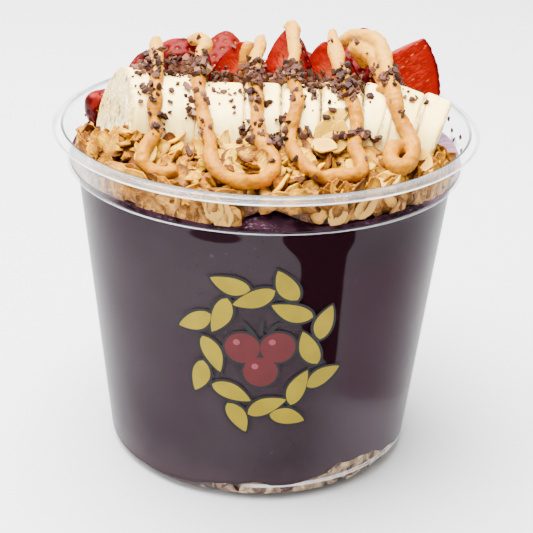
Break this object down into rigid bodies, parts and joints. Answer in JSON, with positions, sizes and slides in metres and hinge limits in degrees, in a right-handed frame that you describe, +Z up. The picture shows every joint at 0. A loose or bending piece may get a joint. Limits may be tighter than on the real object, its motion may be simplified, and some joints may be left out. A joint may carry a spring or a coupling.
{
  "type": "acai bowl",
  "caption": "Clear tapered plastic cup filled with acai blend over a granola layer, topped with granola, sliced banana, strawberries, nut butter strands and cacao nibs.",
  "frame": {"origin": "centre of the cup's foot, on the surface it stands on", "axes": "+Z up, the granola crescent lies to the front at -Y, the banana row runs along X"},
  "size_m": [0.117, 0.117, 0.1182],
  "materials": {
    "clear_plastic": "clear, glossy",
    "toasted_oats": "dry, matte",
    "acai_blend": "soft, slightly moist",
    "banana_flesh": "moist, soft",
    "strawberry_flesh": "wet, juicy"
  },
  "bodies": {
    "root": {"cup": "clear_plastic", "granola_base": "toasted_oats", "acai_fill": "acai_blend", "granola_topping": "toasted_oats", "banana_slice_1": "banana_flesh", "banana_slice_2": "banana_flesh", "banana_slice_3": "banana_flesh", "banana_slice_4": "banana_flesh", "banana_slice_5": "banana_flesh", "banana_slice_6": "banana_flesh", "banana_slice_7": "banana_flesh", "banana_slice_8": "banana_flesh", "banana_slice_9": "banana_flesh", "strawberry_piece_1": "strawberry_flesh", "strawberry_piece_2": "strawberry_flesh", "strawberry_piece_3": "strawberry_flesh", "strawberry_piece_4": "strawberry_flesh", "strawberry_piece_5": "strawberry_flesh", "strawberry_piece_6": "strawberry_flesh", "strawberry_piece_7": "strawberry_flesh", "strawberry_piece_8": "strawberry_flesh", "strawberry_piece_9": "strawberry_flesh", "strawberry_piece_10": "strawberry_flesh", "strawberry_piece_11": "strawberry_flesh"}
  },
  "joints": []
}
